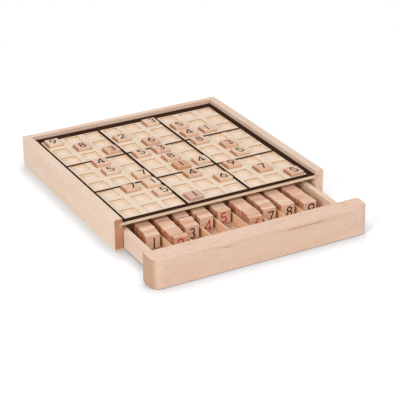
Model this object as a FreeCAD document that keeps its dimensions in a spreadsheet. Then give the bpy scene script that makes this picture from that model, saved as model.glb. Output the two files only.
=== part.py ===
import FreeCAD, Part
import os
import Sketcher

# A wooden sudoku board: a shallow case topped by a board with nine by nine square recesses,
# and a drawer under the board that stores the loose number tiles in nine rows.
# Lengths are in millimetres. X runs along the drawer front, Y runs to the back, Z is up,
# and the origin is the centre of the case's underside. The drawer is drawn partly open.

# Driving sizes

driving_sizes = {
    # The board: a plate pierced by square holes, glued on a thin backing
    "cell_pitch": 21.7,
    "grid_bar": 6.3,
    "grid_side_border": 4.35,
    "grid_back_border": 7.5,
    "grid_front_border": 3.05,
    "recess_depth": 2.9,
    "backing_thickness": 0.75,
    # The case: a thin bottom, two thick sides and a back wall between them, all grooved for the board
    "bottom_thickness": 2.4,
    "side_thickness": 8.0,
    "back_thickness": 6.0,
    "arris_radius": 0.4,
    "board_drop": 4.4,
    "board_front_setback": 2.15,
    "groove_depth": 3.0,
    "groove_clearance": 0.1,
    # The number tiles
    "tile_clearance": 1.0,
    "tile_thickness": 6.0,
    "tile_edge_radius": 1.0,
    "tile_seat_gap": 0.05,
    "tile_spacing": 0.1,
    # The drawer
    "drawer_opening": 60.8,
    "drawer_side_shift": -2.4,
    "drawer_side_gap": 3.25,
    "drawer_rest_gap": 0.3,
    "drawer_head_gap": 4.25,
    "drawer_wall": 5.6,
    "drawer_wall_rise": 0.05,
    "drawer_floor_thickness": 2.2,
    "drawer_floor_rebate": 2.8,
    "compartment_clearance": 3.2,
    "finger_room": 25.1,
    "divider_thickness": 2.0,
    "divider_height": 8.1,
    "front_thickness": 19.4,
    "front_height": 28.8,
    "front_table_gap": 0.3,
    "front_corner_radius": 9.0,
    "front_arris_radius": 1.2,
}

# Counts and places

cells_per_side = 9

# The tiles on the board, from the back row to the front; a dot is an empty recess
board_layout = [
    "9....3...",
    ".8.2..5..",
    "..3.6.41.",
    ".4.53.8..",
    ".5..8..3.",
    "..7.14.5.",
    ".71.4.9..",
    "..5..6.7.",
    "...1....5",
]

# Room in front of each drawer row, as a share of what the row leaves free in its compartment
row_start_shares = {1: 0.823, 2: 0.874, 3: 0.848, 4: 0.99, 5: 0.846, 6: 0.744, 7: 0.821, 8: 0.8, 9: 0.757}

# How far each tile in the drawer stands to one side, from the front, as a share of the play beside it
row_side_shares = {
    1: [-0.7, 0.0, 0.4, 0.4, 0.3],
    2: [-0.1, -0.7, -0.2, -0.4, 0.1, 0.0, 0.2, 0.0],
    3: [-0.9, -0.8, 0.0, -0.2, 0.1],
    4: [-0.8, -0.5, -0.6, -0.3, -0.5],
    5: [-0.3, -0.4, -0.1],
    6: [-0.7, 0.2, 0.3, 0.0, 0.0, 0.2, 0.1],
    7: [-0.8, -0.1, 0.2, 0.0, 0.1, -0.1],
    8: [-0.9, -0.8, -0.9, -0.7, -0.8, -0.8],
    9: [-0.8, -0.5, -0.8, -0.9, -0.7, -0.8, -0.8],
}

# Gaps that a row shows behind its first tiles, as shares of a tile's thickness
row_gap_shares = {2: [0.2], 3: [0.0, 0.0, 0.42], 6: [0.12]}

# The document and its sheet of sizes

doc = FreeCAD.newDocument("sudoku_board")
sheet = doc.addObject("Spreadsheet::Sheet", "sizes")
for line, (name, value) in enumerate(driving_sizes.items(), start=1):
    sheet.set(f"A{line}", name)
    sheet.set(f"B{line}", str(value))
    sheet.setAlias(f"B{line}", name)
doc.recompute()

# Places that several pieces share, worked out from the sheet

grid_size = f"({cells_per_side} * sizes.cell_pitch)"
recess_size = "(sizes.cell_pitch - sizes.grid_bar)"
bay_width = f"({grid_size} + 2 * sizes.grid_side_border)"
bay_depth = f"(sizes.board_front_setback + sizes.grid_front_border + {grid_size} + sizes.grid_back_border)"
case_width = f"({bay_width} + 2 * sizes.side_thickness)"
case_depth = f"({bay_depth} + sizes.back_thickness)"
half_width = f"({case_width} / 2)"
half_depth = f"({case_depth} / 2)"
tile_size = f"({recess_size} - sizes.tile_clearance)"
drawer_underside = "(sizes.bottom_thickness + sizes.drawer_rest_gap)"
drawer_wall_height = f"(sizes.drawer_floor_thickness + {tile_size} + sizes.tile_seat_gap + sizes.drawer_wall_rise)"
board_underside = f"({drawer_underside} + {drawer_wall_height} + sizes.drawer_head_gap)"
board_thickness = "(sizes.recess_depth + sizes.backing_thickness)"
board_top = f"({board_underside} + {board_thickness})"
wall_height = f"({board_top} + sizes.board_drop - sizes.bottom_thickness)"
board_width = f"({bay_width} + 2 * sizes.groove_depth)"
board_front = f"(-{half_depth} + sizes.board_front_setback)"
board_back = f"({half_depth} - sizes.back_thickness + sizes.groove_depth)"
board_depth = f"({board_back} - {board_front})"
recess_floor = f"({board_top} - sizes.recess_depth)"
grid_front = f"({board_front} + sizes.grid_front_border)"
grid_centre_y = f"({grid_front} + {grid_size} / 2)"
groove_bottom = f"({board_underside} - sizes.groove_clearance)"
groove_height = f"({board_thickness} + 2 * sizes.groove_clearance)"
groove_cut = "(sizes.groove_depth + sizes.groove_clearance)"

row_pitch = "(sizes.tile_thickness + sizes.tile_spacing)"
compartment_pitch = f"({tile_size} + sizes.compartment_clearance + sizes.divider_thickness)"
compartment_length = f"({cells_per_side} * {row_pitch} + sizes.finger_room)"
drawer_width = f"({bay_width} - 2 * sizes.drawer_side_gap)"
drawer_inner_width = f"({drawer_width} - 2 * sizes.drawer_wall)"
drawer_length = f"({compartment_length} + sizes.drawer_wall)"
drawer_left = f"(sizes.drawer_side_shift - {drawer_width} / 2)"
drawer_floor_top = f"({drawer_underside} + sizes.drawer_floor_thickness)"
front_back_face = f"(-{half_depth} - sizes.drawer_opening)"


# Ways of making a piece

def place(piece, x, y, z):
    """Hold a piece's place to three expressions."""
    for axis, expression in zip("xyz", (x, y, z)):
        piece.setExpression(f"Placement.Base.{axis}", expression)


def box(label, length, width, height, x, y, z):
    """Add a plain board, sawn square, with its low corner at x, y, z."""
    piece = doc.addObject("Part::Box", label)
    piece.Label = label
    piece.setExpression("Length", length)
    piece.setExpression("Width", width)
    piece.setExpression("Height", height)
    place(piece, x, y, z)
    return piece


def new_body(label):
    body = doc.addObject("PartDesign::Body", label)
    body.Label = label
    return body


def new_sketch(body, role, name):
    """Add a sketch on one of the body's own origin planes."""
    plane = [feature for feature in body.Origin.OriginFeatures if feature.Role == role][0]
    sketch = body.newObject("Sketcher::SketchObject", name)
    sketch.AttachmentSupport = [(plane, "")]
    sketch.MapMode = "FlatFace"
    return sketch


def rectangle(sketch, name, left, low, width, height):
    """Draw a rectangle in a sketch, with its low corner and sides held to four expressions."""
    first = sketch.GeometryCount
    corners = [FreeCAD.Vector(x, y, 0) for x, y in ((0, 0), (1, 0), (1, 1), (0, 1))]
    for side in range(4):
        sketch.addGeometry(Part.LineSegment(corners[side], corners[(side + 1) % 4]))
    for side in range(4):
        sketch.addConstraint(Sketcher.Constraint("Coincident", first + side, 2, first + (side + 1) % 4, 1))
    for side, direction in enumerate(("Horizontal", "Vertical", "Horizontal", "Vertical")):
        sketch.addConstraint(Sketcher.Constraint(direction, first + side))
    held = {
        "left": (("DistanceX", -1, 1, first, 1, 0), left),
        "low": (("DistanceY", -1, 1, first, 1, 0), low),
        "width": (("DistanceX", first, 1, first, 2, 1), width),
        "height": (("DistanceY", first + 1, 1, first + 1, 2, 1), height),
    }
    for part_name, (constraint, expression) in held.items():
        index = sketch.addConstraint(Sketcher.Constraint(*constraint))
        sketch.renameConstraint(index, f"{name}_{part_name}")
        sketch.setExpression(f"Constraints.{name}_{part_name}", expression)


def pad(body, sketch, length, reverse=False):
    feature = body.newObject("PartDesign::Pad", f"{body.Name}_pad")
    feature.Profile = sketch
    feature.setExpression("Length", length)
    feature.Reversed = reverse
    sketch.Visibility = False
    doc.recompute()
    return feature


def pocket(body, sketch, depth, reverse=False):
    """Cut a pocket, and make sure that it took material away."""
    before = body.Shape.Volume
    feature = body.newObject("PartDesign::Pocket", f"{body.Name}_pocket")
    feature.Profile = sketch
    feature.setExpression("Length", depth)
    feature.Reversed = reverse
    sketch.Visibility = False
    doc.recompute()
    if not body.Shape.Volume < before:
        raise RuntimeError(f"{body.Label}: the pocket cuts nothing")
    return feature


def fillet(body, base, edges, radius):
    feature = body.newObject("PartDesign::Fillet", f"{body.Name}_fillet")
    feature.Base = (base, edges)
    feature.setExpression("Radius", radius)
    doc.recompute()
    return feature


def edges_along(shape, direction, keep=lambda edge: True):
    """Name the straight edges that run along a direction."""
    names = []
    for number, edge in enumerate(shape.Edges, start=1):
        start, end = edge.Vertexes[0].Point, edge.Vertexes[-1].Point
        if (end - start).cross(direction).Length < Part.Precision.confusion() and keep(edge):
            names.append(f"Edge{number}")
    return names


x_axis, y_axis, z_axis = FreeCAD.Vector(1, 0, 0), FreeCAD.Vector(0, 1, 0), FreeCAD.Vector(0, 0, 1)


# The case

def side_panel(label, outward):
    """A thick side on the case's bottom, with a groove along its inner face for the board's end."""
    body = new_body(label)
    on_right = outward > 0
    outline = new_sketch(body, "YZ_Plane", f"{label}_outline")
    rectangle(outline, "panel", f"-{half_depth}", "sizes.bottom_thickness", case_depth, wall_height)
    panel = pad(body, outline, "sizes.side_thickness", reverse=not on_right)
    fillet(body, panel, edges_along(panel.Shape, y_axis), "sizes.arris_radius")
    groove = new_sketch(body, "YZ_Plane", f"{label}_groove")
    groove_length = f"{board_back} + {half_depth} + sizes.groove_clearance"
    rectangle(groove, "groove", f"-{half_depth}", groove_bottom, groove_length, groove_height)
    pocket(body, groove, groove_cut, reverse=on_right)
    place(body, f"{outward} * {bay_width} / 2", "0 mm", "0 mm")
    return body


def back_wall(label):
    """The wall between the sides at the back, with a groove for the board's back edge."""
    body = new_body(label)
    outline = new_sketch(body, "XZ_Plane", f"{label}_outline")
    rectangle(outline, "wall", f"-{bay_width} / 2", "sizes.bottom_thickness", bay_width, wall_height)
    wall = pad(body, outline, "sizes.back_thickness", reverse=True)
    fillet(body, wall, edges_along(wall.Shape, x_axis), "sizes.arris_radius")
    groove = new_sketch(body, "XZ_Plane", f"{label}_groove")
    rectangle(groove, "groove", f"-{bay_width} / 2", groove_bottom, bay_width, groove_height)
    pocket(body, groove, groove_cut)
    place(body, "0 mm", f"{half_depth} - sizes.back_thickness", "0 mm")
    return body


def board_grid(label):
    """The board's upper plate, pierced by one square hole for each cell of the grid."""
    body = new_body(label)
    outline = new_sketch(body, "XY_Plane", f"{label}_outline")
    rectangle(outline, "board", f"-{board_width} / 2", board_front, board_width, board_depth)
    pad(body, outline, "sizes.recess_depth")
    holes = new_sketch(body, "XY_Plane", f"{label}_holes")
    margin = "sizes.grid_bar / 2"
    for column in range(cells_per_side):
        left = f"-{grid_size} / 2 + {column} * sizes.cell_pitch + {margin}"
        rectangle(holes, f"hole_{column + 1}", left, f"{grid_front} + {margin}", recess_size, recess_size)
    first_row = pocket(body, holes, "sizes.recess_depth", reverse=True)
    all_rows = body.newObject("PartDesign::LinearPattern", f"{label}_rows")
    all_rows.Originals = [first_row]
    all_rows.Direction = (holes, ["V_Axis"])
    all_rows.setExpression("Length", f"{cells_per_side - 1} * sizes.cell_pitch")
    all_rows.Occurrences = cells_per_side
    body.Tip = all_rows
    place(body, "0 mm", "0 mm", recess_floor)
    return body


bottom_panel = box(
    "bottom_panel", case_width, case_depth, "sizes.bottom_thickness",
    f"-{half_width}", f"-{half_depth}", "0 mm",
)
left_side = side_panel("left_side", -1)
right_side = side_panel("right_side", 1)
case_back = back_wall("back_wall")
grid_plate = board_grid("board_grid")
backing = box(
    "board_backing", board_width, board_depth, "sizes.backing_thickness",
    f"-{board_width} / 2", board_front, board_underside,
)
sub_parts = [bottom_panel, left_side, right_side, case_back, grid_plate, backing]


# The drawer

def drawer_front(label):
    """The thick front, as wide as the case, with its two outer corners rounded off."""
    body = new_body(label)
    outline = new_sketch(body, "XY_Plane", f"{label}_outline")
    rectangle(outline, "front", f"-{half_width}", "-sizes.front_thickness", case_width, "sizes.front_thickness")
    block = pad(body, outline, "sizes.front_height")
    front_face_y = block.Shape.BoundBox.YMin

    def at_front(edge):
        return abs(edge.CenterOfMass.y - front_face_y) < Part.Precision.confusion()

    corners = edges_along(block.Shape, z_axis, at_front)
    rounded = fillet(body, block, corners, "sizes.front_corner_radius")
    rim = edges_along(rounded.Shape, x_axis)
    fillet(body, rounded, rim, "sizes.front_arris_radius")
    place(body, "sizes.drawer_side_shift", front_back_face, "sizes.front_table_gap")
    return body


def drawer_side_wall(label, outward):
    """A drawer side, rebated along its lower inner edge for the floor."""
    body = new_body(label)
    on_right = outward > 0
    outline = new_sketch(body, "YZ_Plane", f"{label}_outline")
    rectangle(outline, "wall", "0 mm", "0 mm", drawer_length, drawer_wall_height)
    wall = pad(body, outline, "sizes.drawer_wall", reverse=not on_right)
    fillet(body, wall, edges_along(wall.Shape, y_axis), "sizes.arris_radius")
    rebate = new_sketch(body, "YZ_Plane", f"{label}_rebate")
    rectangle(rebate, "rebate", "0 mm", "0 mm", drawer_length, "sizes.drawer_floor_thickness")
    pocket(body, rebate, "sizes.drawer_floor_rebate", reverse=on_right)
    inner_face = f"sizes.drawer_side_shift + {outward} * {drawer_inner_width} / 2"
    place(body, inner_face, front_back_face, drawer_underside)
    return body


front = drawer_front("drawer_front")
left_wall = drawer_side_wall("drawer_left_wall", -1)
right_wall = drawer_side_wall("drawer_right_wall", 1)
drawer_back = box(
    "drawer_back", drawer_inner_width, "sizes.drawer_wall", f"{drawer_wall_height} - sizes.drawer_floor_thickness",
    f"{drawer_left} + sizes.drawer_wall", f"{front_back_face} + {compartment_length}", drawer_floor_top,
)
drawer_floor = box(
    "drawer_floor", f"{drawer_inner_width} + 2 * sizes.drawer_floor_rebate", drawer_length,
    "sizes.drawer_floor_thickness",
    f"{drawer_left} + sizes.drawer_wall - sizes.drawer_floor_rebate", front_back_face, drawer_underside,
)
sub_parts += [front, left_wall, right_wall, drawer_back, drawer_floor]

for number in range(1, cells_per_side):
    centre = f"sizes.drawer_side_shift + {number - cells_per_side / 2} * {compartment_pitch}"
    sub_parts.append(box(
        f"divider_{number}", "sizes.divider_thickness", compartment_length, "sizes.divider_height",
        f"{centre} - sizes.divider_thickness / 2", front_back_face, drawer_floor_top,
    ))


# The number tiles

middle_cell = (cells_per_side + 1) / 2


def all_edges(shape):
    return [f"Edge{number + 1}" for number in range(len(shape.Edges))]


def board_tile(digit, column, row):
    """A tile that lies in a recess, digit up."""
    body = new_body(f"tile_{digit}_column_{column}_row_{row}")
    outline = new_sketch(body, "XY_Plane", f"{body.Name}_outline")
    rectangle(outline, "tile", f"-{tile_size} / 2", f"-{tile_size} / 2", tile_size, tile_size)
    block = pad(body, outline, "sizes.tile_thickness")
    fillet(body, block, all_edges(block.Shape), "sizes.tile_edge_radius")
    x = f"{column - middle_cell} * sizes.cell_pitch"
    y = f"{grid_centre_y} + {middle_cell - row} * sizes.cell_pitch"
    place(body, x, y, f"{recess_floor} + sizes.tile_seat_gap")
    return body


def drawer_row(digit, count):
    """A row of like tiles on edge in one compartment, each a solid of its own, digits to the front."""
    body = new_body(f"drawer_tiles_{digit}")
    body.AllowCompound = True
    outline = new_sketch(body, "XY_Plane", f"{body.Name}_outline")
    gap_shares = row_gap_shares.get(digit, [])
    for number in range(count):
        left = f"{row_side_shares[digit][number]} * sizes.compartment_clearance / 2 - {tile_size} / 2"
        start = f"{number} * {row_pitch} + {sum(gap_shares[:number])} * sizes.tile_thickness"
        rectangle(outline, f"tile_{number + 1}", left, start, tile_size, "sizes.tile_thickness")
    blocks = pad(body, outline, tile_size)
    fillet(body, blocks, all_edges(blocks.Shape), "sizes.tile_edge_radius")
    row_length = f"({count} * {row_pitch} - sizes.tile_spacing + {sum(gap_shares)} * sizes.tile_thickness)"
    x = f"sizes.drawer_side_shift + {digit - middle_cell} * {compartment_pitch}"
    y = f"{front_back_face} + {row_start_shares[digit]} * ({compartment_length} - {row_length})"
    place(body, x, y, f"{drawer_floor_top} + sizes.tile_seat_gap")
    return body


for row, cells in enumerate(board_layout, start=1):
    for column, cell in enumerate(cells, start=1):
        if cell != ".":
            sub_parts.append(board_tile(int(cell), column, row))

for digit in range(1, cells_per_side + 1):
    on_board = "".join(board_layout).count(str(digit))
    sub_parts.append(drawer_row(digit, cells_per_side - on_board))

# Check every object, then write each sub-part

doc.recompute()
failed = [piece.Name for piece in doc.Objects if {"Invalid", "Error"} & set(piece.State)]
if failed:
    raise RuntimeError(f"objects that failed: {failed}")
for piece in sub_parts:
    if piece.Shape.isNull() or not piece.Shape.isValid():
        raise RuntimeError(f"{piece.Label}: its shape is not valid")

os.makedirs("parts", exist_ok=True)
for piece in sub_parts:
    piece.Shape.exportStep(f"parts/{piece.Label}.step")
    print(piece.Label, len(piece.Shape.Solids), "solids", round(piece.Shape.Volume, 1), "mm3")
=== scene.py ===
import math
import random

import bmesh
import bpy
from mathutils import Matrix, Vector


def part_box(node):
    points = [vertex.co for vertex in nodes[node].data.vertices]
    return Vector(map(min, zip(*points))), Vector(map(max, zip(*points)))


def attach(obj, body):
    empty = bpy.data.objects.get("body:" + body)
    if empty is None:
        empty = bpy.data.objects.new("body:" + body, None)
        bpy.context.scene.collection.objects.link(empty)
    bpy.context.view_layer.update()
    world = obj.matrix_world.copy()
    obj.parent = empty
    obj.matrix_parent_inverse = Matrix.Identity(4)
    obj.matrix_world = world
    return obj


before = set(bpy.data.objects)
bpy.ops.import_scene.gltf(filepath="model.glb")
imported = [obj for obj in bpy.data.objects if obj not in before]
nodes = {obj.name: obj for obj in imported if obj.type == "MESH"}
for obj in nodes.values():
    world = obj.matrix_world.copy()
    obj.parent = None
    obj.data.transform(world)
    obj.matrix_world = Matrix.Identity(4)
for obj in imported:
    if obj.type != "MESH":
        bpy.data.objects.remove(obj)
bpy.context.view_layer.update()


# Bottom panel
# A sheet of thin poplar plywood, sawn to the case's full footprint and glued under its walls.
# Only its sawn edge shows, as a pale strip along the foot of the case.

MM = 0.001


def linear(hex_colour):
    """An sRGB hex colour as the linear colour that a shader takes."""
    channels = [int(hex_colour[start:start + 2], 16) / 255 for start in (1, 3, 5)]
    return tuple(c / 12.92 if c <= 0.04045 else ((c + 0.055) / 1.055) ** 2.4 for c in channels) + (1.0,)


def add(tree, kind, inputs=None, **settings):
    """Add a node, set it up, and fill its inputs with values or with other nodes' outputs."""
    made = tree.nodes.new(kind)
    for name, value in settings.items():
        setattr(made, name, value)
    for socket, value in (inputs or {}).items():
        if isinstance(value, bpy.types.NodeSocket):
            tree.links.new(value, made.inputs[socket])
        else:
            made.inputs[socket].default_value = value
    return made


def new_material(name):
    """An empty node material and its node tree."""
    material = bpy.data.materials.new(name)
    material.use_nodes = True
    material.node_tree.nodes.clear()
    return material, material.node_tree


# How the object is turned so that its fibres run along X.
GRAIN_TURN = {"X": (0, 0, 0), "Y": (0, 0, -math.pi / 2)}
# The noise lies mostly between 0.3 and 0.7, so a range that starts higher leaves fewer and sharper patches.
EVENLY, SPARSELY, RARELY = (0.3, 0.7), (0.4, 0.75), (0.58, 0.75)


def fibres(tree, place, size_mm, seed, noise_range, most):
    """Patches of a size along and across the fibres, as an amount from 0 to most."""
    long, wide = (1 / (size * MM) for size in size_mm)
    scaled = add(tree, "ShaderNodeVectorMath", {0: place, 1: (long, wide, wide), 2: (seed, seed, seed)},
                 operation="MULTIPLY_ADD")
    noise = add(tree, "ShaderNodeTexNoise", {"Vector": scaled.outputs[0], "Scale": 1.0, "Detail": 2.0})
    amount = add(tree, "ShaderNodeMapRange", {
        "Value": noise.outputs["Fac"], "From Min": noise_range[0], "From Max": noise_range[1],
        "To Min": 0.0, "To Max": most})
    return amount.outputs[0]


# A ring texture at scale 1 has its rings this many metres apart.
RING_UNIT = 0.1 * math.pi
# A ring's line fades in and out along the fibres in patches of this length and width.
LINE_PATCH_MM = (30, 3)


def ring_lines(tree, place, seed, ring_mm, pith_mm, lean_deg, wander_mm, crisp):
    """The dark wood that ends each year's ring: thin shells round the pith, cut open by the sawn face."""
    lean = add(tree, "ShaderNodeMapping", {
        "Vector": place, "Location": (0, pith_mm[0] * MM, pith_mm[1] * MM),
        "Rotation": (0, math.radians(lean_deg[0]), math.radians(lean_deg[1]))})
    sway = fibres(tree, place, wander_mm[:2], seed, EVENLY, wander_mm[2] * MM)
    swayed = add(tree, "ShaderNodeVectorMath", {0: lean.outputs[0], 1: sway}, operation="ADD")
    rings = add(tree, "ShaderNodeTexWave", {
        "Vector": swayed.outputs[0], "Scale": RING_UNIT / (ring_mm * MM), "Distortion": 0.0},
        wave_type="RINGS", rings_direction="X", wave_profile="TRI")
    return add(tree, "ShaderNodeMath", {0: rings.outputs["Fac"], 1: crisp}, operation="POWER")


# A face counts as level, and not upright, where the upward part of its normal is more than this.
LEVEL = 0.5


def edge_band(tree, where, colour, low, high, tone):
    """Colour the upright faces of a sheet between two heights, such as where one ply's end grain shows."""
    parts = add(tree, "ShaderNodeSeparateXYZ", {"Vector": where.outputs["Object"]})
    facing = add(tree, "ShaderNodeSeparateXYZ", {"Vector": where.outputs["Normal"]})
    upward = add(tree, "ShaderNodeMath", {0: facing.outputs["Z"]}, operation="ABSOLUTE")
    upright = add(tree, "ShaderNodeMath", {0: upward.outputs[0], 1: LEVEL}, operation="LESS_THAN")
    in_band = add(tree, "ShaderNodeMath", {
        0: parts.outputs["Z"], 1: (low + high) / 2, 2: (high - low) / 2}, operation="COMPARE")
    shows = add(tree, "ShaderNodeMath", {0: upright.outputs[0], 1: in_band.outputs[0]}, operation="MULTIPLY")
    return add(tree, "ShaderNodeMix", {
        "Factor": shows.outputs[0], "A": colour.outputs["Result"], "B": linear(tone)}, data_type="RGBA")


# Beech pores are under 0.1 mm wide, and are drawn four times as wide so that their streaks show.
PORE_MM = (14, 0.4)
PORE_DEPTH = FLECK_DEPTH = 0.5
# A face turns from long grain to end grain between these two amounts of facing along the fibres.
LONG_GRAIN, END_GRAIN = 0.45, 0.9
# How strongly the rings and clouds show in the end grain.
END_FIGURE = 0.35
# Sanded wood without varnish is satin, with its pores and flecks a hair lower than the face.
SATIN_ROUGHNESS, SATIN_GLOSS, NAP = 0.6, 0.5, 0.02 * MM


def wood(name, grain, tones, seed, pith_mm, ring_mm=6, lean_deg=(2, 2), line=0.4, gaps=(0.35, 0.65),
         crisp=10.0, wander_mm=(55, 16, 3), cloud=0.5, cloud_mm=(70, 14), fleck_mm=(2, 0.35), bands=(),
         marks=None):
    """Sawn and sanded wood whose fibres run along the grain axis.

    tones: pale wood, darker wood, the line that ends each year's ring, and the faces across the fibres.
    pith_mm, ring_mm, lean_deg: where the rings' centre lies beside the piece, how far apart the rings are,
    and how far the centre leans, so that a sawn face cuts them in long arches, as in a real board.
    wander_mm: how long, how wide and how far the rings stray.
    line, crisp, gaps: how dark the rings' lines are, the power that thins them, and the noise range of the
    patches in which they show.
    cloud, cloud_mm, fleck_mm: how strong and how large the darker patches are, and how large the ray flecks.
    bands: the low edge, high edge and tone of each band of colour round the upright faces.
    marks: a function that returns where the wood is printed, and the ink's colour and gloss.
    """
    material, tree = new_material(name)
    pale, dark, ring, end = (linear(tone) for tone in tones)
    where = add(tree, "ShaderNodeTexCoord")
    turn = GRAIN_TURN[grain]
    along = add(tree, "ShaderNodeMapping", {"Vector": where.outputs["Object"], "Rotation": turn})
    place = along.outputs[0]

    # Each pattern starts at a place of its own in the noise.
    lines = ring_lines(tree, place, seed, ring_mm, pith_mm, lean_deg, wander_mm, crisp)
    patches = fibres(tree, place, LINE_PATCH_MM, seed + 5, gaps, line)
    clouds = fibres(tree, place, cloud_mm, seed + 10, EVENLY, cloud)
    pores = fibres(tree, place, PORE_MM, seed + 15, SPARSELY, PORE_DEPTH)
    flecks = fibres(tree, place, fleck_mm, seed + 20, RARELY, FLECK_DEPTH)

    shade = add(tree, "ShaderNodeMath", {0: clouds, 1: pores}, operation="ADD", use_clamp=True)
    face = add(tree, "ShaderNodeMix", {"Factor": shade.outputs[0], "A": pale, "B": dark}, data_type="RGBA")
    patchy_lines = add(tree, "ShaderNodeMath", {0: lines.outputs[0], 1: patches}, operation="MULTIPLY")
    figure = add(tree, "ShaderNodeMath", {0: patchy_lines.outputs[0], 1: flecks}, operation="MAXIMUM")
    face = add(tree, "ShaderNodeMix", {
        "Factor": figure.outputs[0], "A": face.outputs["Result"], "B": ring}, data_type="RGBA")

    facing = add(tree, "ShaderNodeMapping", {"Vector": where.outputs["Normal"], "Rotation": turn})
    facing = add(tree, "ShaderNodeSeparateXYZ", {"Vector": facing.outputs[0]})
    across = add(tree, "ShaderNodeMath", {0: facing.outputs["X"]}, operation="ABSOLUTE")
    across = add(tree, "ShaderNodeMapRange", {
        "Value": across.outputs[0], "From Min": LONG_GRAIN, "From Max": END_GRAIN})
    end_shade = add(tree, "ShaderNodeMath", {0: lines.outputs[0], 1: clouds}, operation="ADD")
    end_shade = add(tree, "ShaderNodeMath", {0: end_shade.outputs[0], 1: END_FIGURE},
                    operation="MULTIPLY", use_clamp=True)
    end_face = add(tree, "ShaderNodeMix", {
        "Factor": end_shade.outputs[0], "A": end, "B": ring}, data_type="RGBA")
    colour = add(tree, "ShaderNodeMix", {
        "Factor": across.outputs[0], "A": face.outputs["Result"], "B": end_face.outputs["Result"]},
        data_type="RGBA")

    for low, high, tone in bands:
        colour = edge_band(tree, where, colour, low, high, tone)
    gloss = SATIN_GLOSS
    if marks:
        find_ink, ink_colour, ink_gloss = marks
        inked = find_ink(tree, where)
        colour = add(tree, "ShaderNodeMix", {
            "Factor": inked, "A": colour.outputs["Result"], "B": linear(ink_colour)}, data_type="RGBA")
        dulled = add(tree, "ShaderNodeMapRange", {
            "Value": inked, "To Min": SATIN_GLOSS, "To Max": ink_gloss})
        gloss = dulled.outputs[0]

    relief = add(tree, "ShaderNodeMath", {0: pores, 1: flecks}, operation="MAXIMUM")
    bump = add(tree, "ShaderNodeBump", {"Height": relief.outputs[0], "Distance": -NAP})
    surface = add(tree, "ShaderNodeBsdfPrincipled", {
        "Base Color": colour.outputs["Result"], "Roughness": SATIN_ROUGHNESS, "Specular IOR Level": gloss,
        "Normal": bump.outputs["Normal"]})
    add(tree, "ShaderNodeOutputMaterial", {"Surface": surface.outputs["BSDF"]})
    return material


def dress(node, material):
    """Give a CAD node one material in place of its plain one."""
    slots = nodes[node].data.materials
    slots.clear()
    slots.append(material)


def middle_ply(node, tone):
    """The band of darker end grain that the middle one of a sheet's three plies shows at its edge."""
    low, high = (corner.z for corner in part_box(node))
    ply = (high - low) / 3
    return low + ply, high - ply, tone


# Cream sawn edge, a little greener than the beech above it, with a faint darker middle ply.
POPLAR = ("#f1e4d0", "#e6d3b4", "#d6bd97", "#f6e8d6")
dress("bottom_panel", wood("poplar plywood, sawn", "X", POPLAR, seed=1, pith_mm=(20, 40), lean_deg=(2, 1),
                           bands=[middle_ply("bottom_panel", POPLAR[1])]))


# Case walls
# Two thick sides of solid beech run the full depth, and a thinner back is glued in between them.
# All are planed and sanded, and left without varnish.

# Steamed beech: pale and pinkish with a soft satin nap, and much redder and darker where it is cut across.
BEECH = ("#f2dbc8", "#e5c2a6", "#bf8a66", "#c99d7c")
# The left side is cut nearly along the rings: close, faint, straight lines, and a brown front end.
LEFT_BEECH = ("#f5ddc9", "#e9c8ac", "#9c6446", "#cb9572")
dress("left_side", wood("beech, planed, left side", "Y", LEFT_BEECH, seed=2, pith_mm=(-79, 39),
                        ring_mm=3.8, lean_deg=(0.5, 0.5), line=0.15, crisp=4.0, cloud=0.3))
# The right side's end grain is as pale as its faces.
RIGHT_BEECH = BEECH[:3] + ("#f9d8bf",)
dress("right_side", wood("beech, planed, right side", "Y", RIGHT_BEECH, seed=3, pith_mm=(-45, 30),
                         lean_deg=(2, -3)))
# The back wall is painted lighter and rosier, as painted light for its shaded inner face above the black
# border; it has broad soft arches.
LIGHTENED_BACK_BEECH = ("#f8ddc8", "#eec6aa") + BEECH[2:]
dress("back_wall", wood("beech, planed, back wall", "X", LIGHTENED_BACK_BEECH, seed=4, pith_mm=(-160, 30)))


# Board
# A basswood plywood plate with 81 square holes, glued on a thin sheet that is the floor of the recesses.
# Its block lines and its border are screen printed in matt black on the plate's top face.

CELLS = 9
BLOCK = 3
# The tiles in two opposite corners give the grid's pitch and centre.
first_tile, last_tile = "tile_9_column_1_row_1", "tile_5_column_9_row_9"


def centre(node):
    """The middle of a node's box."""
    low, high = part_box(node)
    return (low + high) / 2


cell_pitch = (centre(last_tile).x - centre(first_tile).x) / (CELLS - 1)
grid_centre = (centre(last_tile) + centre(first_tile)) / 2
half_grid = CELLS / 2 * cell_pitch
board_foot, board_top = (corner.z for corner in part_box("board_grid"))

# Brown black ink, dull and thin. The print sits a little off the holes, nearer to the front.
BLACK, INK_GLOSS = "#391f0e", 0.05
LINE_WIDTH = 3.2 * MM
PRINT_SHIFT = Vector((-0.7, -1.2, 0)) * MM
# How far the border reaches into the outer row of cells on each side.
BORDER_LEFT, BORDER_RIGHT, BORDER_BACK, BORDER_FRONT = 2.0 * MM, 1.4 * MM, 0.4 * MM, 2.9 * MM
# The ink runs over the plate's front arris, down to this depth.
INK_DEPTH = 0.6 * MM


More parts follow.
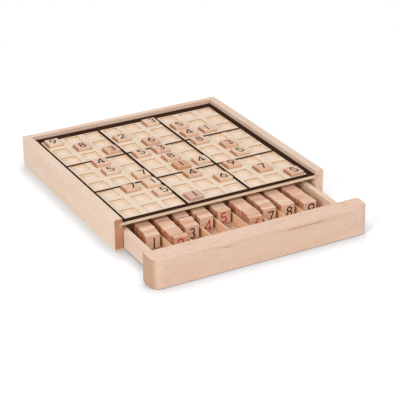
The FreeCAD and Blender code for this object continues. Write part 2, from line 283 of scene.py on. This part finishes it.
def printed_lines(tree, where):
    """Where the ink is: two block lines each way and the border, on top and over the front arris."""
    middle = grid_centre + PRINT_SHIFT
    local = add(tree, "ShaderNodeVectorMath", {
        0: where.outputs["Object"], 1: (-middle.x, -middle.y, 0)}, operation="ADD")
    parts = add(tree, "ShaderNodeSeparateXYZ", {"Vector": local.outputs[0]})
    border = {"X": (BORDER_LEFT - half_grid, half_grid - BORDER_RIGHT),
              "Y": (BORDER_FRONT - half_grid, half_grid - BORDER_BACK)}
    stripes = []
    for axis, (low_edge, high_edge) in border.items():
        off_middle = add(tree, "ShaderNodeMath", {0: parts.outputs[axis]}, operation="ABSOLUTE")
        line = add(tree, "ShaderNodeMath", {
            0: off_middle.outputs[0], 1: BLOCK / 2 * cell_pitch, 2: LINE_WIDTH / 2}, operation="COMPARE")
        above = add(tree, "ShaderNodeMath", {0: parts.outputs[axis], 1: high_edge}, operation="GREATER_THAN")
        below = add(tree, "ShaderNodeMath", {0: parts.outputs[axis], 1: low_edge}, operation="LESS_THAN")
        stripes += [line, above, below]
    inked = stripes[0]
    for stripe in stripes[1:]:
        inked = add(tree, "ShaderNodeMath", {0: inked.outputs[0], 1: stripe.outputs[0]}, operation="MAXIMUM")

    facing = add(tree, "ShaderNodeSeparateXYZ", {"Vector": where.outputs["Normal"]})
    level = add(tree, "ShaderNodeMath", {0: facing.outputs["Z"], 1: LEVEL}, operation="GREATER_THAN")
    front = add(tree, "ShaderNodeMath", {0: parts.outputs["Y"], 1: -half_grid}, operation="LESS_THAN")
    printable = add(tree, "ShaderNodeMath", {0: level.outputs[0], 1: front.outputs[0]}, operation="MAXIMUM")
    on_top = add(tree, "ShaderNodeMath", {
        0: parts.outputs["Z"], 1: board_top - INK_DEPTH}, operation="GREATER_THAN")
    for limit in (on_top, printable):
        inked = add(tree, "ShaderNodeMath", {0: inked.outputs[0], 1: limit.outputs[0]}, operation="MULTIPLY")
    return inked.outputs[0]


# Basswood is creamier than beech and almost without figure, so the recesses show by their edges alone.
BASSWOOD = ("#f4dec6", "#eed5ba", "#d2ae87", "#f2dcc2")
# Every cut edge of the plate, in the holes and outside, is painted pale, as painted light that offsets the
# warm orange shade that the holes take, and has a thin brown line along its top.
BROWN_LINE_DEPTH = 0.8 * MM
cut_edges = [(board_foot, board_top - BROWN_LINE_DEPTH, "#f3e1ca"), (board_top - BROWN_LINE_DEPTH, board_top, "#c49a6e")]
dress("board_grid", wood("basswood plywood, sanded and screen printed", "X", BASSWOOD, seed=5,
                         pith_mm=(30, 60), ring_mm=9, lean_deg=(1, 2), line=0.15, bands=cut_edges,
                         marks=(printed_lines, BLACK, INK_GLOSS)))
# The sheet under the plate is rosier, and as plain.
ROSY_BASSWOOD = ("#f6e1d0", "#f0dac6") + BASSWOOD[2:]
dress("board_backing", wood("basswood sheet, sanded", "Y", ROSY_BASSWOOD, seed=6, pith_mm=(30, 60),
                            ring_mm=9, lean_deg=(1, 2), line=0.15))


# Drawer
# A thick beech front with rounded corners, planed beech walls and back, and a thin plywood floor.
# Eight thin slats stand in it and part it into nine rows; everything is glued.

# The front is cut near the middle of the log, so one ring shows as a thin red-brown line that comes and goes
# just under the upper edge, and long ray flecks freckle the rest.
FRONT_BEECH = ("#f1d4bf", "#e4bb9d", "#b57858", "#caa486")
dress("drawer_front", wood("beech, sanded, drawer front", "X", FRONT_BEECH, seed=46, pith_mm=(174, 38),
                           ring_mm=27, lean_deg=(0.3, 0), line=0.85, gaps=(0.5, 0.62), crisp=20.0,
                           wander_mm=(60, 30, 5), fleck_mm=(6, 0.9)))
# The walls are the case's beech; the right one is lighter and yellower: partly its own tone, partly painted
# light.
YELLOW_LIT_BEECH = ("#f4dbc2", "#e7c5a2", "#be8a60", "#c99d70")
dress("drawer_left_wall", wood("beech, planed, drawer wall", "Y", BEECH, seed=8, pith_mm=(60, 25)))
dress("drawer_right_wall", wood("yellow beech with painted light, planed, drawer wall", "Y", YELLOW_LIT_BEECH, seed=9,
                                pith_mm=(-40, 25)))
dress("drawer_back", wood("beech, planed, drawer back", "X", BEECH, seed=10, pith_mm=(60, 25)))
# Rosy brown plywood, painted darker than any other wood here as shade for the narrow gaps between the rows,
# where alone it shows, so that the rows' floor falls back behind the tiles.
SHADED_ROSY_PLY = ("#dcb59c", "#cea088", "#a8765c", "#cfa58c")
dress("drawer_floor", wood("rosy hardwood plywood, sanded", "X", SHADED_ROSY_PLY, seed=11, pith_mm=(60, 40),
                           ring_mm=8, lean_deg=(1, 1), bands=[middle_ply("drawer_floor", SHADED_ROSY_PLY[1])]))
# Warm honey slats, the yellowest wood here.
HONEY_BEECH = ("#eec8a4", "#e3b88f", "#bd8a60", "#e0b48c")
slat = wood("beech slat, planed", "Y", HONEY_BEECH, seed=12, pith_mm=(30, 30), ring_mm=5, lean_deg=(1, 1))
for number in range(1, CELLS):
    dress(f"divider_{number}", slat)


# Number tiles
# Small beech blocks, sawn from strips of offcuts and tumbled, so that their edges are soft.
# On the board they lie flat in the recesses; in the drawer they stand on edge in rows.

# Sapwood and heartwood are mixed: from pale and creamy to pink and to a warmer orange brown.
# The board has the first four, and the drawer has them all.
# Each last colour, for the tiles' sides across the fibres, is darker and redder: partly end grain and partly
# painted shade for the narrow gaps round the tiles.
TILE_TONES = [
    ("#eecab0", "#deab8c", "#a9704a", "#c0815a"),
    ("#f3d6be", "#e5ba9a", "#b57f5b", "#c88c64"),
    ("#efd0b8", "#e0b498", "#b0785a", "#c28562"),
    ("#f5dcc5", "#e8c2a2", "#bc8964", "#cc966e"),
    ("#ebc3a5", "#daa382", "#a26745", "#b97e59"),
    ("#ecc6ae", "#dba78c", "#a66e4e", "#be8461"),
    ("#e6bca2", "#d39b82", "#a0674e", "#b67c60"),
    ("#e7bb9a", "#d49c78", "#9c633b", "#b37850"),
]
BOARD_TONES = 4


def tile_wood(name, tones, seed, pith_across_mm):
    """Close rings and small strong clouds, since a tile is a short piece from a narrow strip."""
    return wood(name, "X", tones, seed, pith_mm=(pith_across_mm, 12), ring_mm=3, lean_deg=(3, 2), cloud=0.7,
                cloud_mm=(9, 3))


tile_woods = [
    tile_wood(f"beech offcut, tumbled {number + 1}", tones, seed=20 + number, pith_across_mm=20 + 7 * number)
    for number, tones in enumerate(TILE_TONES)
]
toss = random.Random(9)
board_tiles = sorted(name for name in nodes if name.startswith("tile_"))
for name in board_tiles:
    dress(name, toss.choice(tile_woods[:BOARD_TONES]))

# Two tiles stand out from the rest: one of rosy heartwood, one steamed to a warm orange.
ODD_TONES = {
    "tile_1_column_4_row_9": ("#e8bfab", "#d8a792", "#ab7460", "#cb937f"),
    "tile_1_column_5_row_6": ("#e6b48e", "#d59a70", "#a0643f", "#c08460"),
}
for number, (name, tones) in enumerate(ODD_TONES.items()):
    odd_wood = tile_wood(f"odd beech offcut, tumbled {number + 1}", tones, seed=30 + number, pith_across_mm=25)
    dress(name, odd_wood)


def tile_tops(row):
    """Where each tile of a drawer row stands, front to back: the middle of the flat on its top."""
    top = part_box(row)[1].z
    tiny = 0.01 * MM
    flat = [vertex.co for vertex in nodes[row].data.vertices if top - vertex.co.z < tiny]
    edges = []
    for y in sorted(co.y for co in flat):
        if not edges or y - edges[-1] > tiny:
            edges.append(y)
    spots = []
    for near, far in zip(edges[::2], edges[1::2]):
        across = [co.x for co in flat if near - tiny < co.y < far + tiny]
        spots.append(Vector(((min(across) + max(across)) / 2, (near + far) / 2, 0)))
    return spots


# The tone of the first tile in each drawer row, by its place in TILE_TONES; the others are tossed for.
FRONT_TONE = {1: 1, 2: 4, 3: 2, 4: 3, 5: 5, 6: 0, 7: 1, 8: 1, 9: 2}
for digit in range(1, CELLS + 1):
    mesh = nodes[f"drawer_tiles_{digit}"].data
    spots = tile_tops(f"drawer_tiles_{digit}")
    mesh.materials.clear()
    for material in tile_woods:
        mesh.materials.append(material)
    tones = [FRONT_TONE[digit]] + [toss.randrange(len(tile_woods)) for _ in spots[1:]]
    for polygon in mesh.polygons:
        nearest = min(range(len(spots)), key=lambda number: abs(spots[number].y - polygon.center.y))
        polygon.material_index = tones[nearest]


# Numbers
# Plain upright numerals, pad printed in matt ink on one face of each tile, black or red.
# Each is built from strokes of one width, straight bars and round bows, joined into one thin film.

STROKE = 1.3 * MM
half_stroke = STROKE / 2
INK_THICKNESS = 0.05 * MM
# A round bow is made of straight steps that turn by about this much.
BOW_STEP_DEG = 8
# Corners nearer to each other than this are one.
SAME_CORNER = 0.001 * MM


def bar(start, end):
    """A straight stroke as a thin solid."""
    start, end = Vector(start).to_2d(), Vector(end).to_2d()
    run = end - start
    middle = (start + end) / 2
    stroke = bmesh.new()
    bmesh.ops.create_cube(stroke, size=1)
    bmesh.ops.scale(stroke, vec=(run.length, STROKE, INK_THICKNESS), verts=stroke.verts)
    bmesh.ops.rotate(stroke, matrix=Matrix.Rotation(math.atan2(run.y, run.x), 3, "Z"), verts=stroke.verts)
    bmesh.ops.translate(stroke, vec=(middle.x, middle.y, INK_THICKNESS / 2), verts=stroke.verts)
    return stroke


def bow(middle, radius, first_deg, sweep_deg):
    """A round stroke: its small cross-section spun about the bow's middle."""
    stroke = bmesh.new()
    inner, outer = radius - half_stroke, radius + half_stroke
    corners = [(inner, 0, 0), (outer, 0, 0), (outer, 0, INK_THICKNESS), (inner, 0, INK_THICKNESS)]
    section = stroke.faces.new([stroke.verts.new(corner) for corner in corners])
    full = sweep_deg == 360
    geometry = list(section.edges) + list(section.verts) + ([] if full else [section])
    bmesh.ops.spin(stroke, geom=geometry, cent=(0, 0, 0), axis=(0, 0, 1), dvec=(0, 0, 0),
                   angle=math.radians(sweep_deg), steps=sweep_deg // BOW_STEP_DEG, use_merge=full,
                   use_duplicate=False)
    if full:
        bmesh.ops.delete(stroke, geom=[section], context="FACES_ONLY")
    bmesh.ops.remove_doubles(stroke, verts=stroke.verts, dist=SAME_CORNER)
    bmesh.ops.recalc_face_normals(stroke, faces=stroke.faces)
    bmesh.ops.rotate(stroke, matrix=Matrix.Rotation(math.radians(first_deg), 3, "Z"), verts=stroke.verts)
    bmesh.ops.translate(stroke, vec=(middle[0], middle[1], 0), verts=stroke.verts)
    return stroke


# The numerals' height and half width, between the middles of their strokes, and the radii of their bows.
high, half_wide = 9.5 * MM, 2.75 * MM
upper, lower, bowl = 2.2 * MM, 2.55 * MM, 2.9 * MM
# A six's straight stroke leaves its bowl at this angle, without a kink, and runs up to the top.
exit_angle = math.radians(147)
touch = Vector((bowl * math.cos(exit_angle), bowl + bowl * math.sin(exit_angle)))
run_up = Vector((math.sin(exit_angle), -math.cos(exit_angle)))
top_end = touch + run_up * ((high + half_stroke - touch.y) / run_up.y)
four_foot, four_stem, four_bar = -3.8 * MM, 1.3 * MM, 1.9 * MM

# A bar has its start and end; a bow its middle, radius, first angle and sweep, in degrees.
# The bare numbers are shares of a named length. A nine is a six turned round.
NUMERALS = {
    1: [(bar, (0, -half_stroke), (0, high + half_stroke))],
    2: [(bow, (0, high - half_wide), half_wide, -38, 208),
        (bar, (half_wide * 0.79, high - half_wide * 1.6), (-half_wide, 0)),
        (bar, (-half_wide - half_stroke, 0), (half_wide + half_stroke, 0))],
    3: [(bow, (0, high - upper), upper, -90, 240),
        (bow, (0, lower), lower, -150, 240)],
    4: [(bar, (four_stem, -half_stroke), (four_stem, high + half_stroke)),
        (bar, (four_stem, high), (four_foot, four_bar)),
        (bar, (four_foot - half_stroke * 0.6, four_bar), (half_wide + half_stroke, four_bar))],
    5: [(bar, (-half_wide * 0.6, high), (half_wide * 0.9, high)),
        (bar, (-half_wide * 0.58, high + half_stroke), (-half_wide * 0.82, bowl * 1.6)),
        (bow, (0, bowl), bowl, -145, 280)],
    6: [(bow, (0, bowl), bowl, 0, 360),
        (bar, touch, top_end)],
    7: [(bar, (-half_wide - half_stroke * 0.5, high), (half_wide + half_stroke, high)),
        (bar, (half_wide, high), (-half_wide * 0.35, -half_stroke))],
    8: [(bow, (0, high - upper), upper, 0, 360),
        (bow, (0, lower), lower, 0, 360)],
}


def solid(name, shape):
    """An object from a bmesh, which is used up."""
    mesh = bpy.data.meshes.new(name)
    shape.to_mesh(mesh)
    shape.free()
    made = bpy.data.objects.new(name, mesh)
    bpy.context.scene.collection.objects.link(made)
    return made


def numeral(digit):
    """One numeral's mesh, lying flat with its centre over the origin: its strokes joined into one solid."""
    turned = digit == 9
    strokes = [solid("stroke", make(*sizes)) for make, *sizes in NUMERALS[6 if turned else digit]]
    first = strokes[0]
    for other in strokes[1:]:
        join = first.modifiers.new("join", "BOOLEAN")
        join.operation = "UNION"
        join.solver = "EXACT"
        join.object = other
    mesh = bpy.data.meshes.new_from_object(first.evaluated_get(bpy.context.evaluated_depsgraph_get()))
    for stroke in strokes:
        bpy.data.objects.remove(stroke)
    mesh.transform(Matrix.Translation((0, -high / 2, 0)))
    if turned:
        mesh.transform(Matrix.Rotation(math.pi, 4, "Z"))
    return mesh


# Ink sinks into the pores in patches of this size, and lets a little of the wood through.
SOAK_MM = (1.2, 0.6)
SOAK_RANGE, SOAK_DEPTH = (0.5, 0.8), 0.25
INK_ROUGHNESS = 0.7


def ink(name, colour, soaked):
    """Matt pad printing ink on bare wood, with a paler tone where it has soaked in."""
    material, tree = new_material(name)
    where = add(tree, "ShaderNodeTexCoord")
    share = fibres(tree, where.outputs["Object"], SOAK_MM, 3, SOAK_RANGE, SOAK_DEPTH)
    mixed = add(tree, "ShaderNodeMix", {
        "Factor": share, "A": linear(colour), "B": linear(soaked)}, data_type="RGBA")
    surface = add(tree, "ShaderNodeBsdfPrincipled", {
        "Base Color": mixed.outputs["Result"], "Roughness": INK_ROUGHNESS, "Specular IOR Level": INK_GLOSS})
    add(tree, "ShaderNodeOutputMaterial", {"Surface": surface.outputs["BSDF"]})
    return material


numerals = {digit: numeral(digit) for digit in range(1, CELLS + 1)}
# Brown black and tomato red, both dull and a little thin, so that they never look like glossy paint.
INKS = {"black": ink("black pad printing ink", "#170d0a", "#54382a"),
        "red": ink("red pad printing ink", "#c03526", "#cf8d6c")}


def print_numbers(name, body, placed, colour):
    """One printed piece from numerals of one colour at several places, riding on a body."""
    printed = bmesh.new()
    for digit, place in placed:
        copy = numerals[digit].copy()
        copy.transform(place)
        printed.from_mesh(copy)
        bpy.data.meshes.remove(copy)
    piece = solid(name, printed)
    piece.data.materials.append(INKS[colour])
    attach(piece, body)


# Printed by hand in a jig, so some numbers sit to the right or left of their tile's middle.
ASIDE_MM = {
    "tile_3_column_6_row_1": 1.5, "tile_1_column_8_row_3": -1.0, "tile_7_column_3_row_6": 2.0,
    "tile_7_column_2_row_7": 2.0, "tile_1_column_3_row_7": 2.0, "tile_4_column_5_row_7": 0.5,
    "tile_5_column_3_row_8": 2.0, "tile_1_column_4_row_9": 1.2,
}
for name in board_tiles:
    digit = int(name.split("_")[1])
    spot = centre(name)
    spot.x += ASIDE_MM.get(name, 0) * MM
    spot.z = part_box(name)[1].z
    print_numbers("number_on_" + name, name, [(digit, Matrix.Translation(spot))], "black")

# The first tile of each drawer row: its ink, and how far down and to the right the number sits, in mm.
FRONT_PRINT = {
    1: ("black", 1.1, 1.0), 2: ("red", 0, -0.8), 3: ("black", 0.8, 0), 4: ("red", 2.0, 1.8),
    5: ("red", 0.2, -0.9), 6: ("red", 0.3, 1.0), 7: ("black", 1.6, 1.3), 8: ("black", 0.8, 1.4),
    9: ("black", -0.4, 1.4),
}
# The others are tossed for: half of them red, and off the middle within these limits.
RED_SHARE = 0.5
DOWN_RANGE_MM, ASIDE_RANGE_MM = (-0.5, 1.0), (-1.0, 1.0)
standing = Matrix.Rotation(math.pi / 2, 4, "X")
tile_low, tile_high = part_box(first_tile)
half_thick = (tile_high.z - tile_low.z) / 2
for digit in range(1, CELLS + 1):
    row = f"drawer_tiles_{digit}"
    printed = {"red": [], "black": []}
    for number, spot in enumerate(tile_tops(row)):
        if number == 0:
            colour, down, aside = FRONT_PRINT[digit]
        else:
            colour = "red" if toss.random() < RED_SHARE else "black"
            down = toss.uniform(*DOWN_RANGE_MM)
            aside = toss.uniform(*ASIDE_RANGE_MM)
        spot += Vector((aside * MM, -half_thick, centre(row).z - down * MM))
        printed[colour].append((digit, Matrix.Translation(spot) @ standing))
    for colour, placed in printed.items():
        if placed:
            print_numbers(f"{colour}_numbers_{digit}", row, placed, colour)


# Studio floor
# A sheet of matt white paper before an equally white backdrop, so that its edge doesn't show.
# The camera sees it at full white, with a painted soft grey shade, from an occlusion node, close to whatever
# stands on it.

FLOOR_REACH = 450 * MM
SHADE_REACH = 18 * MM
# The painted shade and the open floor are cool, because the wood throws warm light on the floor round it.
PAINTED_SHADE, OPEN_FLOOR = (0.17, 0.19, 0.22, 1), (0.98, 1.01, 1.04, 1)
FLOOR_LIFT = 0.2
FLOOR_BOUNCE = (0.85, 0.85, 0.85, 1)

sheet = bmesh.new()
bmesh.ops.create_grid(sheet, x_segments=1, y_segments=1, size=FLOOR_REACH)
studio_floor = solid("floor", sheet)
white_paper, tree = new_material("white paper, matt")
path = add(tree, "ShaderNodeLightPath")
bounce = add(tree, "ShaderNodeBsdfDiffuse", {"Color": FLOOR_BOUNCE})
openness = add(tree, "ShaderNodeAmbientOcclusion", {"Distance": SHADE_REACH})
white = add(tree, "ShaderNodeMix", {
    "Factor": openness.outputs["AO"], "A": PAINTED_SHADE, "B": OPEN_FLOOR}, data_type="RGBA")
lit = add(tree, "ShaderNodeBsdfDiffuse", {"Color": white.outputs["Result"]})
lift = add(tree, "ShaderNodeEmission", {"Strength": FLOOR_LIFT})
lifted = add(tree, "ShaderNodeAddShader", {0: lit.outputs[0], 1: lift.outputs[0]})
shown = add(tree, "ShaderNodeMixShader", {
    0: path.outputs["Is Camera Ray"], 1: bounce.outputs[0], 2: lifted.outputs[0]})
add(tree, "ShaderNodeOutputMaterial", {"Surface": shown.outputs[0]})
studio_floor.data.materials.append(white_paper)


# Light
# An even white room, with square cloth-covered softboxes standing and hanging round the object.
# The strongest is at the left, so that the left side is the case's brightest face.

ROOM_LEVEL, BACKDROP_LEVEL = 0.36, 1.0
world = bpy.data.worlds.new("studio")
bpy.context.scene.world = world
world.use_nodes = True
tree = world.node_tree
tree.nodes.clear()
path = add(tree, "ShaderNodeLightPath")
room = add(tree, "ShaderNodeBackground", {"Color": (1, 1, 1, 1), "Strength": ROOM_LEVEL})
backdrop = add(tree, "ShaderNodeBackground", {"Color": (1, 1, 1, 1), "Strength": BACKDROP_LEVEL})
seen = add(tree, "ShaderNodeMixShader", {
    0: path.outputs["Is Camera Ray"], 1: room.outputs[0], 2: backdrop.outputs[0]})
add(tree, "ShaderNodeOutputWorld", {"Surface": seen.outputs[0]})


def softbox(name, spot, size, level):
    """A square soft lamp aimed at the object; level is the light it sends there, 1 being full white."""
    light = bpy.data.lights.new(name, "AREA")
    light.shape = "SQUARE"
    light.size = size
    light.energy = level * math.pi ** 2 * Vector(spot).length_squared
    lamp = bpy.data.objects.new(name, light)
    bpy.context.scene.collection.objects.link(lamp)
    lamp.location = spot
    lamp.rotation_euler = (-Vector(spot)).to_track_quat("-Z", "Y").to_euler()


softbox("key softbox, left", (-1.45, -0.7, 0.95), size=0.8, level=0.45)
softbox("softbox, high behind", (0.4, 0.85, 1.6), size=0.6, level=0.2)
softbox("overhead softbox", (0.0, 0.1, 3.0), size=3.6, level=0.13)
softbox("front softbox", (0.9, -1.3, 0.95), size=1.0, level=0.26)


# Camera
# A full-frame camera with a long lens, at the front left and looking down on the board.
# Its place and turn were fitted to the edges of the case, the board and the drawer.

AIMED_AT = Vector((6.88, -50.78, 0)) * MM
DISTANCE = 1344.58 * MM
YAW, PITCH, ROLL = math.radians(-28.47), math.radians(26.09), math.radians(-0.38)
SENSOR_MM, LENS_MM = 36, 125.96

lens = bpy.data.cameras.new("camera")
lens.sensor_width = SENSOR_MM
lens.lens = LENS_MM
camera = bpy.data.objects.new("camera", lens)
bpy.context.scene.collection.objects.link(camera)
swing = Matrix.Rotation(YAW, 4, "Z")
tilt = Matrix.Rotation(math.pi / 2 - PITCH, 4, "X")
roll = Matrix.Rotation(ROLL, 4, "Z")
step_back = Matrix.Translation((0, 0, DISTANCE))
camera.matrix_world = Matrix.Translation(AIMED_AT) @ swing @ tilt @ roll @ step_back
bpy.context.scene.camera = camera

bpy.context.scene.view_settings.view_transform = "Standard"
